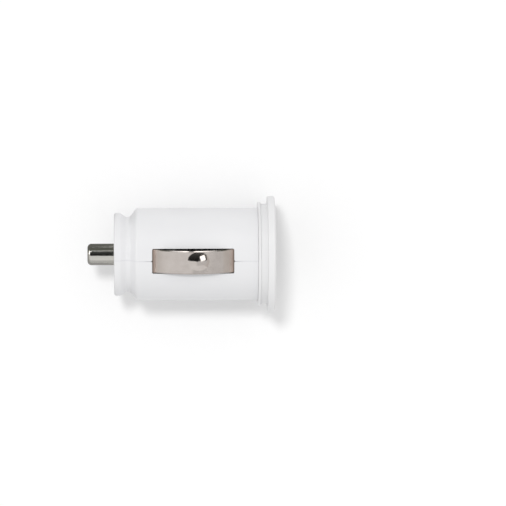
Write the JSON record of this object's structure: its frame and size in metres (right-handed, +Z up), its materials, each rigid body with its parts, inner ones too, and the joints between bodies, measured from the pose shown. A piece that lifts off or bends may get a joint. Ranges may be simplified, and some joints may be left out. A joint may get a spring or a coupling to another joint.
{
  "type": "car usb charger plug",
  "caption": "White car socket plug with a stepped round barrel, sprung nose tip, arched side clips and a flange with two charging ports.",
  "frame": {"origin": "on the plug's axis, in the face of the collar that stops against the socket's rim", "axes": "-X along the plug towards its nose, +X out of the ports, +Z up through the top clip, as the plug lies on its other clip, and the ports side by side along Y"},
  "size_m": [0.0418, 0.0258, 0.0258],
  "materials": {
    "housing_white": "glossy white moulded ABS",
    "cap_white": "glossy white moulded ABS",
    "clip_nickel": "rolled spring steel, nickel plated",
    "tip_nickel": "turned brass, bright nickel plated",
    "spring_steel": "drawn spring wire",
    "terminal_brass": "stamped brass, tinned",
    "board_laminate": "glass fibre laminate with solder mask",
    "port_steel": "stamped steel, nickel plated",
    "port_plastic": "black moulded nylon",
    "contact_gold": "stamped phosphor bronze, gold flashed",
    "capacitor_can": "drawn aluminium can",
    "chip_plastic": "black epoxy moulding",
    "ferrite": "sintered ferrite",
    "chip_ceramic": "fired ceramic chips"
  },
  "bodies": {
    "housing": {"right_shell": "housing_white", "left_shell": "housing_white", "end_cap": "cap_white", "tip_spring": "spring_steel", "tip_terminal": "terminal_brass", "main_board": "board_laminate", "usb_shell_right": "port_steel", "usb_shell_left": "port_steel", "usb_insulator_right": "port_plastic", "usb_insulator_left": "port_plastic", "usb_contacts_right": "contact_gold", "usb_contacts_left": "contact_gold", "input_capacitor": "capacitor_can", "output_capacitor": "capacitor_can", "converter_chip": "chip_plastic", "schottky_diode": "chip_plastic", "power_inductor": "ferrite", "chip_resistors": "chip_ceramic", "chip_capacitors": "chip_ceramic"},
    "tip": {"tip_contact": "tip_nickel"},
    "clip_top": {"ground_clip_top": "clip_nickel"},
    "clip_bottom": {"ground_clip_bottom": "clip_nickel"}
  },
  "joints": [
    {"name": "tip_slide", "type": "slide", "parent": "housing", "child": "tip", "axis": [1, 0, 0], "range_m": [0, 0.0024], "stiffness_N_per_m": 1500, "springref_m": -0.001, "deforming": ["tip_spring"]},
    {"name": "clip_top_press", "type": "slide", "parent": "housing", "child": "clip_top", "axis": [0, 0, -1], "range_m": [0, 0.0023], "stiffness_N_per_m": 4000, "springref_m": -0.0005},
    {"name": "clip_bottom_press", "type": "slide", "parent": "housing", "child": "clip_bottom", "axis": [0, 0, 1], "range_m": [0, 0.0023], "stiffness_N_per_m": 4000, "springref_m": -0.0005}
  ]
}
